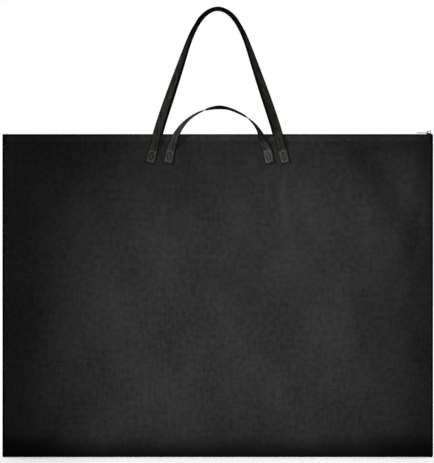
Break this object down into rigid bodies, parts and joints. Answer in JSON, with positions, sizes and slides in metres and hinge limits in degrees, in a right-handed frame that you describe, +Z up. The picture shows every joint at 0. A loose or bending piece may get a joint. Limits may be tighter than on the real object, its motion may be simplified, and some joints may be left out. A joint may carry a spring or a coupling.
{
  "type": "portfolio case",
  "caption": "Flat soft fabric art portfolio case with a zip along its top edge, tall shoulder loops and short carry loops of webbing.",
  "frame": {"origin": "middle of the flat bottom edge", "axes": "+Z up from the bottom edge to the zip and handles, front panel faces -Y, +X to the right seen from the front"},
  "size_m": [1.2192, 0.0698, 1.2784],
  "materials": {
    "shell_cloth": "woven charcoal-black polyester",
    "binding_tape": "black woven tape",
    "long_webbing": "dark olive-grey flat webbing",
    "short_webbing": "dark grey flat webbing",
    "zip_tape": "black knitted zip tape",
    "zip_nylon": "black nylon coil",
    "zip_metal": "black enamel with light worn edges",
    "thread": "grey polyester thread"
  },
  "bodies": {
    "case": {"front_panel": "shell_cloth", "back_panel": "shell_cloth", "bottom_strip": "shell_cloth", "left_binding": "binding_tape", "right_binding": "binding_tape", "front_top_band": "shell_cloth", "back_top_band": "shell_cloth", "left_zip_end_tab": "binding_tape", "right_zip_end_tab": "binding_tape", "front_zip_tape": "zip_tape", "back_zip_tape": "zip_tape", "front_zip_coil": "zip_nylon", "back_zip_coil": "zip_nylon", "zip_closed_end_stop": "zip_metal", "zip_open_end_stop": "zip_metal", "front_handle_backing": "binding_tape", "back_handle_backing": "binding_tape", "front_long_handle_ends": "long_webbing", "back_long_handle_ends": "long_webbing", "front_short_handle_ends": "short_webbing", "back_short_handle_ends": "short_webbing", "front_handle_stitching": "thread", "back_handle_stitching": "thread"},
    "front_long_loop": {"front_long_handle": "long_webbing"},
    "back_long_loop": {"back_long_handle": "long_webbing"},
    "front_short_loop": {"front_short_handle": "short_webbing"},
    "back_short_loop": {"back_short_handle": "short_webbing"},
    "slider": {"zip_slider": "zip_metal"},
    "pull": {"zip_pull": "zip_metal"}
  },
  "joints": [
    {"name": "front_long_handle_fold", "type": "hinge", "parent": "case", "child": "front_long_loop", "pos_m": [0, -0.014, 0.876], "axis": [1, 0, 0], "range_deg": [0, 175]},
    {"name": "back_long_handle_fold", "type": "hinge", "parent": "case", "child": "back_long_loop", "pos_m": [0, 0.014, 0.876], "axis": [-1, 0, 0], "range_deg": [0, 175]},
    {"name": "front_short_handle_fold", "type": "hinge", "parent": "case", "child": "front_short_loop", "pos_m": [0, -0.014, 0.876], "axis": [1, 0, 0], "range_deg": [0, 172]},
    {"name": "back_short_handle_raise", "type": "hinge", "parent": "case", "child": "back_short_loop", "pos_m": [0, 0.014, 0.876], "axis": [1, 0, 0], "range_deg": [0, 172]},
    {"name": "zip_slide", "type": "slide", "parent": "case", "child": "slider", "axis": [-1, 0, 0], "range_m": [0, 1.194]},
    {"name": "zip_pull_lift", "type": "hinge", "parent": "slider", "child": "pull", "pos_m": [0.598, 0, 0.9176], "axis": [0, 1, 0], "range_deg": [0, 180]}
  ]
}
